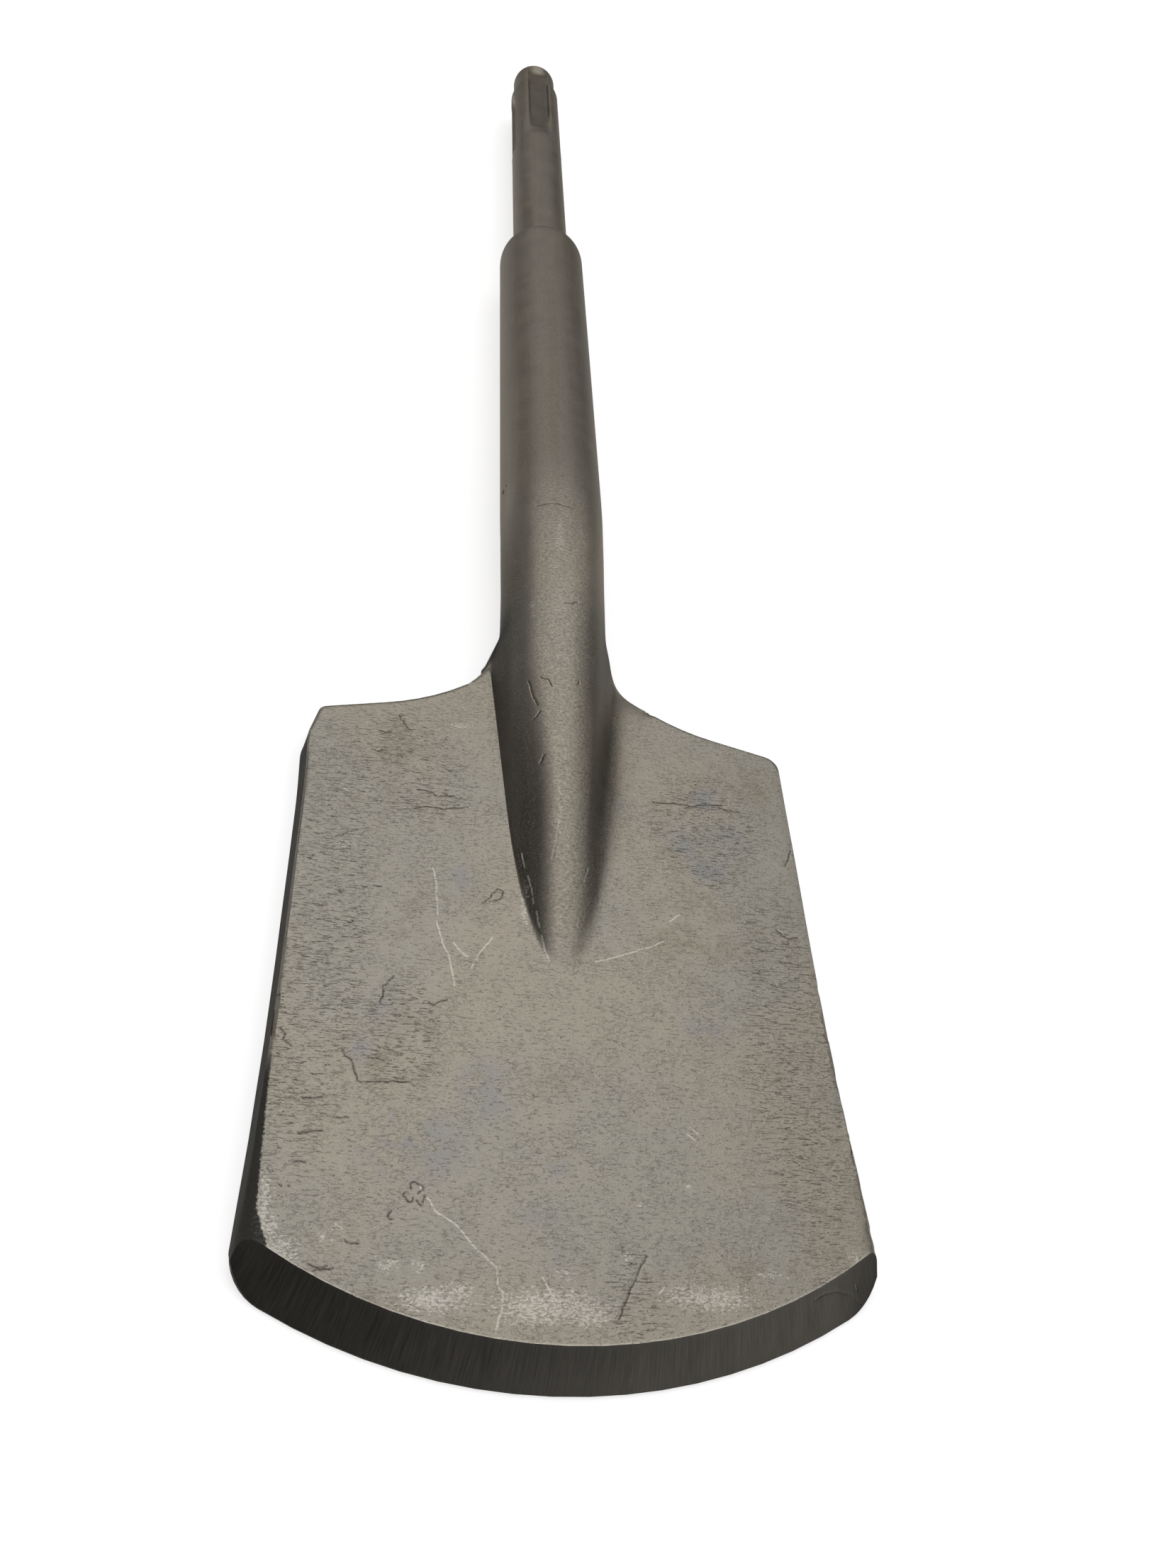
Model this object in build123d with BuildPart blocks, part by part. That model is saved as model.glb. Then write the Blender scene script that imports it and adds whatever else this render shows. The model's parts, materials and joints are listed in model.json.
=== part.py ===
from build123d import *
import os
from math import cos, pi, radians, sin, sqrt, tan

# Spade chisel for a demolition hammer, forged in one piece from a round bar.
# Millimetres. It lies on its flat back: X across the blade, +Y towards the shank's end, +Z up.
# The origin is under the middle of the whole length, on the plane of the back.
# A "station" is a distance measured along the tool from the middle of the cutting edge.

overall_length = 480.0

# Shank, the standard 18 mm one
shank_diameter = 18.0
shank_length = 136.5
nose_diameter = 15.9
nose_length = 13.5
nose_step = 1.5
nose_chamfer = 0.8

drive_groove_width = 7.5
drive_groove_depth = 2.4
drive_groove_length = 62.0
drive_groove_runout = 16.0
drive_groove_angles = (0.0, 145.0, 215.0)

lock_groove_radius = 4.0
lock_groove_depth = 2.4
lock_groove_start = 18.0
lock_groove_length = 48.0
lock_groove_angles = (90.0, 270.0)

# Round body
body_diameter = 27.0
body_shoulder_radius = 3.6
least_shoulder = 0.5

# Flattened pad on the left of the body
pad_station = 193.0
pad_length = 46.0
pad_depth = 0.35
pad_angle = 78.0

# Blade. Its outline is that of the flat back, and the sides lean in towards the top face.
blade_width = 112.0
blade_thickness = 8.0
side_draft = 10.0
left_flare = 1.7
right_flare = 2.6
flare_station = 80.0
tip_corner_radius = 11.0
shoulder_station = 140.9
shoulder_slope = 14.0
shoulder_corner_radius = 5.5
edge_rounding = 0.9

# Towards the tip the top edges roll over more and more, the left one the most
corner_rolls = (
    # station, radius of the left edge, radius of the right edge
    (44.0, 0.7, 0.7),
    (34.0, 1.5, 1.1),
    (27.0, 2.9, 1.8),
    (20.0, 5.2, 3.0),
    (12.0, 8.0, 4.5),
)

# The left shoulder corner is knocked in, and the side stands out a little below it
knocked_depth = 1.8
knocked_length = 8.5
knocked_corner_radius = 3.5
bulge = 0.5
bulge_length = 21.25
bulge_radius = 10.5
bulge_fade_radius = 210.0

# Neck: the blade's shoulders sweep up to the bar in a wide curve that ends in a tighter turn
neck_width = 32.0
neck_sweep_radius = 48.6
neck_turn_radius = 15.0
neck_turn_angle = 36.0
tongue_length = 8.0

# Cutting edge, ground with one bevel on the top face
edge_radius = 110.0
bevel_top_radius = 98.5
bevel_width = 5.8
edge_land = 0.6

# Root, where the round bar sinks into the blade and is flattened on the back
least_flat = 1.6
root_sections = (
    # station, how far the crest has sunk, how much the crown's radius has lost
    (215.0, 0.0, 0.0),
    (204.0, 0.4, 0.1),
    (190.0, 1.6, 0.3),
    (177.0, 2.95, 0.35),
    (165.0, 4.92, 0.35),
)

# Ridge: the root's round, sinking on a straight slope and out on the top face.
# The hollow along its left foot is tight, the one along its right foot is wide.
ridge_end_station = 77.0
ridge_base = 2.0
ridge_base_share = 0.85
ridge_sections = (
    # station, left hollow radius, right hollow radius, depth of the hollow's foot in the blade
    (165.0, 0.4, 0.4, 0.9),
    (160.0, 1.4, 1.4, 0.25),
    (156.0, 2.6, 2.6, 0.15),
    (151.0, 2.4, 3.4, 0.15),
    (143.0, 1.9, 4.0, 0.15),
    (133.0, 1.1, 4.0, 0.15),
    (122.0, 0.8, 4.0, 0.15),
    (106.0, 0.8, 4.0, 0.15),
    (92.0, 0.8, 3.6, 0.15),
    (84.0, 0.8, 3.2, 0.15),
    (79.5, 0.8, 3.0, 0.15),
    (77.3, 0.8, 3.0, 0.15),
    (76.4, 0.8, 3.0, 0.15),
)

body_radius = body_diameter / 2
shank_radius = shank_diameter / 2
nose_radius = nose_diameter / 2
half_width = blade_width / 2
half_neck = neck_width / 2
left_tip = half_width + left_flare
right_tip = half_width + right_flare
shoulder_end_station = overall_length - shank_length
shoulder_step = body_radius - shank_radius
root_start_station = root_sections[0][0]
root_end_station, root_end_sink, root_end_loss = root_sections[-1]
ridge_radius = body_radius - root_end_loss
ridge_rise = body_diameter - root_end_sink - blade_thickness
ridge_slope = ridge_rise / (root_end_station - ridge_end_station)
clear = 2.0
far = 60.0


def along(station):
    """Y of a station."""
    return station - overall_length / 2


def across(station):
    """Plane across the tool at a station, with X to the right and Z up."""
    return Plane.XZ.offset(-along(station))


def arc_rise(radius, offset):
    """How far an arc has risen from its lowest point at an offset from the middle."""
    return radius - sqrt(radius**2 - offset**2)


# Shank and round body, turned about the bar's axis
with BuildPart() as bar:
    with BuildSketch(Plane.XY.offset(body_radius)) as bar_half:
        with BuildLine():
            Polyline(
                (0, along(root_start_station)),
                (body_radius, along(root_start_station)),
                (body_radius, along(shoulder_end_station)),
                (shank_radius, along(shoulder_end_station)),
                (shank_radius, along(overall_length - nose_length - nose_step)),
                (nose_radius, along(overall_length - nose_length)),
                (nose_radius, along(overall_length) - nose_chamfer),
                (nose_radius - nose_chamfer, along(overall_length)),
                (0, along(overall_length)),
                close=True,
            )
        make_face()
        body_corner = (body_radius, along(shoulder_end_station))
        rounding = min(body_shoulder_radius, shoulder_step - least_shoulder)
        fillet(bar_half.vertices().sort_by_distance(body_corner)[0], rounding)
    revolve(axis=Axis((0, 0, body_radius), (0, 1, 0)))

# Driving groove, open at the end, with the curved run-out of its cutter
with BuildPart() as drive_groove:
    floor = shank_radius - drive_groove_depth
    groove_top = shank_radius + clear
    groove_end = along(overall_length - drive_groove_length)
    runout = sqrt(drive_groove_runout**2 - (drive_groove_runout - drive_groove_depth - clear) ** 2)
    with BuildSketch(Plane.YZ.offset(-drive_groove_width / 2)):
        with BuildLine():
            Polyline(
                (groove_end, groove_top),
                (along(overall_length) + clear, groove_top),
                (along(overall_length) + clear, floor),
                (groove_end + runout, floor),
            )
            TangentArc((groove_end + runout, floor), (groove_end, groove_top), tangent=(-1, 0))
        make_face()
    extrude(amount=drive_groove_width)

# Locking groove, closed at both ends
with BuildPart() as lock_groove:
    ball_height = shank_radius - lock_groove_depth + lock_groove_radius
    far_ball = along(overall_length - lock_groove_start) - lock_groove_radius
    near_ball = along(overall_length - lock_groove_start - lock_groove_length) + lock_groove_radius
    with Locations((0, far_ball, ball_height), (0, near_ball, ball_height)):
        Sphere(lock_groove_radius)
    with Locations((0, (far_ball + near_ball) / 2, ball_height)):
        Cylinder(lock_groove_radius, far_ball - near_ball, rotation=(90, 0, 0))

# Plan outline of the blade: the sides run on past the cutting edge, the tongue lies under the bar
with BuildSketch() as blade_plan:
    slope = tan(radians(shoulder_slope))
    shoulder = along(shoulder_station)
    sweep_start = (
        half_neck
        + neck_turn_radius * (1 - sin(radians(neck_turn_angle)))
        + neck_sweep_radius * (sin(radians(neck_turn_angle)) - sin(radians(shoulder_slope)))
    )
    sweep_foot = shoulder + (half_width - sweep_start) * slope
    flare_start = along(flare_station)
    left_corner = (-left_tip, along(arc_rise(edge_radius, left_tip)))
    right_corner = (right_tip, along(arc_rise(edge_radius, right_tip)))
    knocked_top = (-half_width + knocked_depth, shoulder + knocked_depth * slope)
    knocked_side = (-half_width - bulge, shoulder - knocked_length)
    bulge_end = (-half_width, shoulder - bulge_length)
    with BuildLine():
        right_side = TangentArc((half_width, flare_start), right_corner, tangent=(0, -1))
        left_side = TangentArc((-half_width, flare_start), left_corner, tangent=(0, -1))
        Polyline(right_corner, (right_tip, along(-clear)), (-left_tip, along(-clear)), left_corner)
        Polyline((half_width, flare_start), (half_width, shoulder), (sweep_start, sweep_foot))
        sweep = JernArc(
            (sweep_start, sweep_foot),
            (-1, slope),
            neck_sweep_radius,
            shoulder_slope - neck_turn_angle,
        )
        turn = JernArc(sweep @ 1, sweep % 1, neck_turn_radius, neck_turn_angle - 90)
        mirror(sweep, about=Plane.YZ)
        mirror(turn, about=Plane.YZ)
        ThreePointArc(turn @ 1, (0, (turn @ 1).Y + tongue_length), (-half_neck, (turn @ 1).Y))
        Polyline((-sweep_start, sweep_foot), knocked_top, knocked_side, bulge_end, (-half_width, flare_start))
    make_face()
    for corner, radius in (
        ((half_width, shoulder), shoulder_corner_radius),
        (knocked_top, knocked_corner_radius),
        (knocked_side, bulge_radius),
        (bulge_end, bulge_fade_radius),
    ):
        fillet(blade_plan.vertices().sort_by_distance(corner)[0], radius)

# What is ground off the tip: everything outside the cutting edge's arc and the rounded corners
with BuildSketch() as tip_plan:
    with BuildLine():
        ThreePointArc(left_corner, (0, along(0)), right_corner)
        add([right_side, left_side])
        Line((-half_width, flare_start), (half_width, flare_start))
    make_face()
    for corner in (left_corner, right_corner):
        fillet(tip_plan.vertices().sort_by_distance(corner)[0], tip_corner_radius)
    corner_end = tip_plan.vertices().sort_by(Axis.X)[-1].Y

with BuildPart() as tip_waste:
    with BuildSketch(Plane.XY.offset(-clear)):
        with Locations((0, corner_end)):
            Rectangle(blade_width + far, far, align=(Align.CENTER, Align.MAX))
        add(tip_plan.sketch, mode=Mode.SUBTRACT)
    extrude(amount=blade_thickness + 2 * clear)

# What is ground off for the bevel, leaving a thin land at the cutting edge
with BuildPart() as bevel_waste:
    for height, radius, lowest in (
        (edge_land, edge_radius, 0.0),
        (blade_thickness, bevel_top_radius, bevel_width),
    ):
        side = right_tip + clear
        rise = along(lowest + arc_rise(radius, side))
        with BuildSketch(Plane.XY.offset(height)):
            with BuildLine():
                ThreePointArc((-side, rise), (0, along(lowest)), (side, rise))
                Polyline((side, rise), (side, along(-far)), (-side, along(-far)), (-side, rise))
            make_face()
    loft(ruled=True)
    extrude(bevel_waste.faces().sort_by(Axis.Z)[-1], amount=clear)

# What the tip's corners lose: the top edges of the sides roll over more and more towards the cutting edge
with BuildPart() as corner_waste:
    lean = radians(side_draft)
    for side, corner, flare in ((-1, left_corner, left_flare), (1, right_corner, right_flare)):
        for station, *radii in corner_rolls:
            radius = radii[side > 0]
            widening = flare * ((along(station) - flare_start) / (corner[1] - flare_start)) ** 2
            top_edge = Vector(half_width + widening - blade_thickness * tan(lean), blade_thickness)
            cut_back = radius * tan((pi / 2 - lean) / 2)
            on_top = top_edge - Vector(cut_back, 0)
            on_side = top_edge + Vector(sin(lean), -cos(lean)) * cut_back
            centre = on_top - Vector(0, radius)
            halfway = centre + ((on_top + on_side) * 0.5 - centre).normalized() * radius
            outside = [on_side + Vector(2 * clear, 0), top_edge + Vector(2 * clear, clear), on_top + Vector(0, clear)]
            with BuildSketch(across(station)):
                with BuildLine():
                    ThreePointArc(*[(side * point.X, point.Y) for point in (on_top, halfway, on_side)])
                    Polyline(*[(side * point.X, point.Y) for point in (on_side, *outside, on_top)])
                make_face()
        loft()

# Forged blade plate with drafted sides and rounded top edges, the tip ground to shape
with BuildPart() as plate:
    add(blade_plan.sketch)
    extrude(amount=blade_thickness)
    sides = plate.faces().filter_by(lambda face: abs(face.normal_at().Z) < 0.5)
    draft(sides, neutral_plane=Plane.XY, angle=side_draft)
    rims = plate.faces().sort_by(Axis.Z)[-1].edges()
    fillet(rims.sort_by(Axis.Y)[1:], edge_rounding)
    add(tip_waste.part, mode=Mode.SUBTRACT)
    add(corner_waste.part, mode=Mode.SUBTRACT)

# Root: the round bar sinking into the blade, with the flat of the back growing under it
with BuildPart() as root:
    for station, sink, loss in root_sections:
        crest = body_diameter - sink
        crown = body_radius - loss
        base = max(0, crest - crown - sqrt(crown**2 - (least_flat / 2) ** 2))
        flat = sqrt(crown**2 - (crest - crown - base) ** 2)
        with BuildSketch(across(station)):
            with BuildLine():
                Line((-flat, base), (flat, base))
                ThreePointArc((flat, base), (0, crest), (-flat, base))
            make_face()
    loft()

# Ridge: a round crown with a hollow along each foot, running out onto the blade's top face
with BuildPart() as ridge:
    for station, left_hollow, right_hollow, sink in ridge_sections:
        crest = blade_thickness + ridge_slope * (station - ridge_end_station)
        crown_centre = Vector(0, crest - ridge_radius)
        flanks = []
        for side, hollow in ((-1, left_hollow), (1, right_hollow)):
            hollow_height = blade_thickness - sink + hollow
            reach = ridge_radius + hollow
            foot = sqrt(reach**2 - (hollow_height - crown_centre.Y) ** 2)
            hollow_centre = Vector(side * foot, hollow_height)
            touch = crown_centre + (hollow_centre - crown_centre) * (ridge_radius / reach)
            lowest = hollow_centre - Vector(0, hollow)
            middle = hollow_centre + ((touch + lowest) * 0.5 - hollow_centre).normalized() * hollow
            flanks.append((lowest, middle, touch))
        (left_low, left_middle, left_touch), (right_low, right_middle, right_touch) = flanks
        with BuildSketch(across(station)):
            with BuildLine():
                Polyline(
                    left_low,
                    (left_low.X * ridge_base_share, ridge_base),
                    (right_low.X * ridge_base_share, ridge_base),
                    right_low,
                )
                ThreePointArc(right_low, right_middle, right_touch)
                ThreePointArc(right_touch, (0, crest), left_touch)
                ThreePointArc(left_touch, left_middle, left_low)
            make_face()
    loft()

# One forging: bar, root, ridge and blade, then what is ground and milled off
with BuildPart() as chisel:
    add(bar.part)
    add(root.part)
    add(ridge.part)
    add(plate.part)
    add(bevel_waste.part, mode=Mode.SUBTRACT)
    for angle in drive_groove_angles:
        with Locations(Location((0, 0, body_radius), (0, angle, 0))):
            add(drive_groove.part, mode=Mode.SUBTRACT)
    for angle in lock_groove_angles:
        with Locations(Location((0, 0, body_radius), (0, angle, 0))):
            add(lock_groove.part, mode=Mode.SUBTRACT)
    with Locations(Location((0, along(pad_station), body_radius), (0, -pad_angle, 0))):
        with Locations((0, 0, body_radius - pad_depth)):
            Box(
                body_diameter,
                pad_length,
                body_diameter,
                align=(Align.CENTER, Align.CENTER, Align.MIN),
                mode=Mode.SUBTRACT,
            )

chisel.part.label = "forged_chisel"
os.makedirs("parts", exist_ok=True)
export_step(chisel.part, "parts/forged_chisel.step")
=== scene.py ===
"""A spade chisel: one forged steel bit, lying on its flat back, seen from above its cutting edge."""

import contextlib
import json
import math
import random

import bpy
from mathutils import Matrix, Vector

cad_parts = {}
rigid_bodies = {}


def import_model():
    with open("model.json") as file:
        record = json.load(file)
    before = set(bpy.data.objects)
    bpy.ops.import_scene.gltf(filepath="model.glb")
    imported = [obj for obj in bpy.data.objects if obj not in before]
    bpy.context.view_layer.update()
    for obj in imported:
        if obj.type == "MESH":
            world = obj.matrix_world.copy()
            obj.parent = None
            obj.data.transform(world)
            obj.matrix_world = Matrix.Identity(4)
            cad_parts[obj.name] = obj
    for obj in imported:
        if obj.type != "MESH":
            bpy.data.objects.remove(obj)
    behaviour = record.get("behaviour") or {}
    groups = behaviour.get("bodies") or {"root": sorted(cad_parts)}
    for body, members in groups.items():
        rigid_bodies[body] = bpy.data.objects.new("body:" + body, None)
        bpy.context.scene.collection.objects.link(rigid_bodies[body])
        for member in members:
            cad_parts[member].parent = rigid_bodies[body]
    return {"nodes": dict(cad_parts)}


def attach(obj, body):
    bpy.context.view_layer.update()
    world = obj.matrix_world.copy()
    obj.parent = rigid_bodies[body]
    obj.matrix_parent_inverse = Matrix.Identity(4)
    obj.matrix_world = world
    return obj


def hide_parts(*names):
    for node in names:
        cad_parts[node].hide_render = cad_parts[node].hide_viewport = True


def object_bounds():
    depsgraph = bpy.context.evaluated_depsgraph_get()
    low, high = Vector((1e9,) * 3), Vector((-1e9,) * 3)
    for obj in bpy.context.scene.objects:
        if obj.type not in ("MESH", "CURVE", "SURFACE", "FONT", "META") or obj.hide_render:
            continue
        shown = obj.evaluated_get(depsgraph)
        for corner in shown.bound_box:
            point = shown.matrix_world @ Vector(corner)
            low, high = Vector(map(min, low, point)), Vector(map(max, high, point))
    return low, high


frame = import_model()
cad_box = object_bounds()

# Places are given as x, station and z in millimetres. A station is measured from the tip of the cutting edge.
# ABOVE_ALL is a height over the whole piece.
MM = 0.001
EDGE_TO_MIDDLE = -cad_box[0][1] / MM
ABOVE_ALL = 30.0

# Sizes of the solid: the blade's top face, the arc where the bevel meets it, the bar and the shank's nose
BLADE_TOP = 8.0
BEVEL_TOP_RADIUS = 98.5
BEVEL_TOP_STATION = 5.8
BAR_RADIUS = 13.5
NOSE_RADIUS = 7.95
NOSE_CHAMFER = 0.8

# The ridge: its crest leaves the top face at the nose and climbs to the root, where the neck turns.
# Drafts are measured from upright.
RIDGE_RADIUS = 13.15
RIDGE_SLOPE = 0.16
RIDGE_NOSE = 77.0
RIDGE_ROOT = 165.0
FLANK_DRAFT = math.radians(30)
NECK_TURN_RADIUS = 15.0
NECK_TURN_MIDDLE = 31.0
SIDE_DRAFT = math.radians(10)

# Facets round a turned shape, and the side of the square cells that marks are sorted into
FACETS = 256
CELL = 4.0

# Colours of the steel
PLAIN_SKIN = (0.320, 0.288, 0.238, 1.0)
PALER_SKIN = (0.306, 0.284, 0.244, 1.0)
BROWN_STAIN = (0.264, 0.234, 0.186, 1.0)
BLUE_SCALE = (0.245, 0.240, 0.236, 1.0)
RUBBED_CREST = (0.345, 0.312, 0.258, 1.0)
BAR_SKIN = (0.232, 0.208, 0.178, 1.0)
BAR_STREAK = (0.20, 0.165, 0.12, 1.0)
BARE_STEEL = (0.56, 0.53, 0.48, 1.0)
CRACK_DIRT = (0.03, 0.027, 0.024, 1.0)
# Painted shade on the bevel: the darker colour on the left, the less dark on the right
SHADED_BEVEL = (0.058, 0.053, 0.047, 1.0)
LESS_SHADED_BEVEL = (0.115, 0.107, 0.094, 1.0)
EDGE_GLOSS = (0.4, 0.4, 0.4, 1.0)
WHITE = (1.0, 1.0, 1.0, 1.0)

# Splits and laps in the forged skin of the blade's top face: lines of points (x, station)
CRACKS = (
    ((-41.8, 56.4), (-41.4, 55.3), (-40.0, 54.4), (-39.6, 53.2), (-38.8, 50.4), (-35.4, 50.4), (-29.1, 50.9)),
    ((-33.3, 72.6), (-35.3, 70.1), (-35.1, 68.5), (-35.6, 66.7)),
    ((-26.6, 67.6), (-25.5, 66.8), (-24.1, 67.8), (-22.8, 68.3)),
    ((-16.3, 91.1), (-15.0, 92.3), (-13.2, 95.1), (-11.9, 94.6), (-12.6, 92.5), (-14.8, 91.8)),
    ((-41.1, 129.1), (-39.8, 128.5), (-38.8, 129.4)),
    ((-39.9, 134.7), (-38.3, 134.3), (-37.2, 134.9)),
    ((-46.9, 104.7), (-45.6, 105.0), (-44.8, 105.8)),
    ((-43.7, 106.5), (-42.7, 107.0)),
    ((-40.9, 92.8), (-39.7, 92.7)),
    ((-38.4, 93.2), (-36.9, 93.0)),
    ((-30.6, 119.1), (-28.3, 119.1), (-26.2, 117.6), (-24.1, 118.2), (-22.6, 118.3)),
    ((-31.1, 113.8), (-28.6, 114.7), (-25.2, 114.4), (-19.7, 115.7)),
    ((-35.7, 140.1), (-34.5, 137.7), (-33.0, 135.8)),
    ((-43.0, 83.9), (-42.6, 83.8), (-41.7, 84.6)),
    ((22.2, 122.5), (25.4, 122.7), (29.1, 123.0)),
    ((29.7, 121.8), (33.0, 123.3), (39.0, 123.9)),
    ((38.9, 122.6), (43.1, 122.3)),
    ((53.9, 112.8), (51.8, 108.2)),
    ((47.1, 91.1), (48.3, 89.6), (49.8, 88.9), (51.9, 89.6)),
    ((13.0, 20.8), (11.7, 18.6), (10.2, 15.9), (9.1, 13.6), (7.4, 10.1)),
    ((-38.8, 21.8), (-37.8, 21.2), (-36.5, 21.2)),
    ((-44.2, 17.7), (-42.5, 17.0), (-41.2, 17.5)),
    ((-43.6, 16.6), (-40.3, 17.2)),
    ((-48.2, 39.9), (-44.0, 40.7)),
    ((-48.2, 46.6), (-44.6, 46.8)),
    ((-42.4, 43.1), (-39.7, 43.3)),
    ((-48.6, 34.7), (-46.5, 34.8)),
    ((-53.4, 54.9), (-52.9, 54.6)),
    ((-50.5, 30.8), (-49.9, 30.6)),
    ((-6.3, 200.4), (-3.3, 200.7), (-0.6, 200.6), (2.5, 200.2)),
    ((0.3, 168.6), (1.9, 168.4), (3.5, 169.4)),
    ((-48.9, 30.6), (-48.6, 30.5)),
    ((-52.1, 28.8), (-51.9, 28.7)),
    ((-51.6, 33.0), (-52.7, 33.4)),
    ((-6.5, 49.6), (-6.3, 49.5)),
    ((-37.2, 14.5), (-36.9, 14.5)),
    ((-5.2, 147.2), (-3.6, 146.4), (-2.6, 144.4)),
    ((-5.0, 124.6), (-4.2, 126.4)),
    ((-7.7, 146.8), (-7.1, 144.0), (-6.5, 141.9), (-5.7, 139.8)),
    ((-5.1, 138.1), (-5.8, 137.0), (-6.6, 136.2)),
    ((3.8, 147.0), (3.4, 145.9)),
    ((-53.3, 59.9), (-52.2, 58.9), (-52.6, 57.6), (-51.1, 56.5)),
    ((52.7, 18.0), (53.0, 17.7)),
)

# Blisters whose rims have lifted: x, station, radius, and the degrees at which the rim starts and ends
RIMS = (
    (-27.3, 31.0, 1.1, -70, 190),
    (-28.4, 29.6, 0.9, 120, 330),
    (-26.6, 29.2, 0.8, -160, 40),
    (-30.4, 26.6, 1.3, 160, 235),
)

# Folds that stand up a little near the right side
FOLDS = (
    ((36.1, 45.4), (40.3, 45.0), (45.2, 44.4)),
    ((42.8, 39.6), (48.6, 39.0), (50.5, 39.7)),
    ((36.3, 36.9), (39.5, 36.9), (42.6, 36.6)),
    ((34.6, 34.4), (38.7, 34.3), (42.2, 33.9)),
    ((38.3, 31.2), (45.0, 30.0), (50.2, 28.3)),
    ((36.5, 28.0), (41.3, 28.2)),
)

# Bright scratches
SCRATCHES = (
    ((-26.7, 31.6), (-25.9, 29.7), (-24.8, 29.0), (-24.0, 27.3), (-21.3, 25.7), (-18.9, 23.6), (-17.3, 21.6)),
    ((-17.3, 21.6), (-13.4, 18.1), (-13.1, 15.0), (-12.2, 14.2), (-12.5, 11.0), (-13.6, 7.7)),
    ((6.8, 79.3), (10.1, 80.4), (14.3, 82.2), (18.2, 83.7), (21.7, 85.6)),
    ((23.4, 90.7), (25.9, 92.7)),
    ((-0.8, 110.7), (-1.4, 105.7), (-2.3, 101.2)),
    ((-25.5, 85.7), (-24.2, 80.8), (-22.9, 78.2), (-22.3, 75.4), (-21.6, 71.5)),
    ((-22.0, 81.1), (-20.6, 79.2), (-19.1, 78.1)),
    ((-14.2, 83.1), (-16.3, 80.0), (-18.4, 75.6)),
    ((-46.5, 117.5), (-44.9, 116.2)),
    ((23.2, 44.9), (24.7, 43.6)),
    ((22.4, 43.6), (23.9, 42.5)),
    ((15.8, 15.7), (14.5, 14.2)),
    ((-5.5, 16.7), (-4.7, 15.2), (-3.8, 13.7)),
    ((-26.7, 98.6), (-25.8, 94.3), (-25.4, 87.4)),
    ((43.7, 14.6), (45.8, 15.8), (49.0, 16.5), (52.0, 16.4), (54.5, 15.6)),
    ((0.4, 127.9), (0.4, 125.4)),
    ((-8.3, 103.6), (-7.7, 100.1)),
    ((-7.1, 98.0), (-6.2, 94.0), (-6.0, 91.4)),
    ((-5.3, 89.6), (-4.6, 86.0)),
    ((5.6, 100.5), (4.6, 97.2)),
    ((-4.2, 84.2), (-3.6, 81.0), (-2.6, 78.6)),
)

# Round spots, as x, station, reach across and reach along: rubbed bright, stained brown, blued, and scaly
RUBBED = (
    (-31.7, 17.9, 3.0, 1.6), (-26.0, 18.0, 2.6, 1.2), (-40.6, 24.0, 1.2, 0.8), (-42.4, 21.8, 2.4, 0.8),
    (-29.6, 25.0, 1.0, 0.7), (-1.5, 17.4, 2.4, 1.2), (12.5, 29.8, 0.9, 0.5), (16.0, 29.4, 1.0, 0.5),
    (22.2, 33.7, 1.2, 0.5), (33.3, 23.5, 0.8, 0.7), (51.7, 21.5, 2.0, 0.8), (-19.3, 14.4, 3.0, 1.4),
    (-7.0, 9.6, 8.0, 1.1), (21.6, 13.9, 1.8, 0.8), (29.6, 15.8, 1.6, 0.9), (2.1, 10.1, 6.0, 1.8),
    (9.0, 20.2, 4.0, 0.4), (36.0, 18.2, 7.0, 0.5), (-21.6, 138.8, 3.2, 1.2), (-45.5, 102.7, 3.6, 0.8),
    (-28.9, 15.4, 0.7, 0.5), (-13.4, 18.0, 1.2, 0.8), (-7.6, 91.0, 1.2, 8.0), (-51.1, 23.6, 2.0, 3.4),
    (-7.2, 168.5, 0.8, 1.8), (-6.9, 165.4, 0.8, 1.2), (-1.8, 165.7, 1.2, 1.2), (-1.0, 190.0, 1.6, 10.0),
    (-13.9, 33.0, 0.7, 0.5), (54.5, 36.9, 0.6, 0.5), (-0.9, 114.0, 0.8, 9.0), (-52.6, 26.0, 1.8, 10.0),
    (-24.0, 12.5, 9.0, 3.0), (-4.0, 12.0, 14.0, 4.0), (24.0, 14.0, 12.0, 3.0), (-49.0, 19.0, 5.0, 4.0),
)
WARM = (
    (-37.0, 131.0, 8.0, 9.0), (-30.0, 84.0, 4.0, 12.0), (-29.0, 60.0, 5.5, 9.0), (-32.0, 53.0, 9.0, 4.0),
    (-1.0, 51.0, 7.0, 5.0), (0.0, 51.5, 2.0, 2.0), (48.0, 130.0, 8.0, 8.0), (36.0, 17.0, 12.0, 5.0),
    (-35.0, 10.0, 18.0, 4.0), (30.0, 88.0, 20.0, 9.0),
)
COOL = (
    (-29.0, 39.0, 12.0, 9.0), (-16.0, 50.0, 6.0, 8.0), (-8.3, 38.0, 3.0, 2.5), (-2.0, 36.0, 3.0, 2.0),
    (-5.0, 27.5, 6.0, 2.5), (-0.5, 20.0, 4.0, 3.0), (-39.0, 57.0, 3.5, 4.0), (-36.0, 65.0, 4.0, 3.5),
    (-30.0, 103.0, 5.0, 4.0), (-20.0, 97.0, 4.0, 4.0), (33.0, 125.0, 7.0, 6.0), (38.6, 113.0, 6.0, 6.0),
    (29.3, 111.0, 4.0, 5.0), (33.5, 104.6, 6.0, 3.5), (29.5, 96.7, 4.0, 2.5), (29.0, 65.0, 6.0, 4.0),
)
SCALY = (
    (-50.0, 85.0, 14.0, 60.0), (-34.0, 125.0, 16.0, 20.0), (34.0, 115.0, 16.0, 20.0),
    (46.0, 60.0, 12.0, 50.0), (-31.0, 60.0, 9.0, 15.0), (-30.0, 120.0, 14.0, 10.0), (10.0, 14.0, 6.0, 10.0),
)


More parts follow.
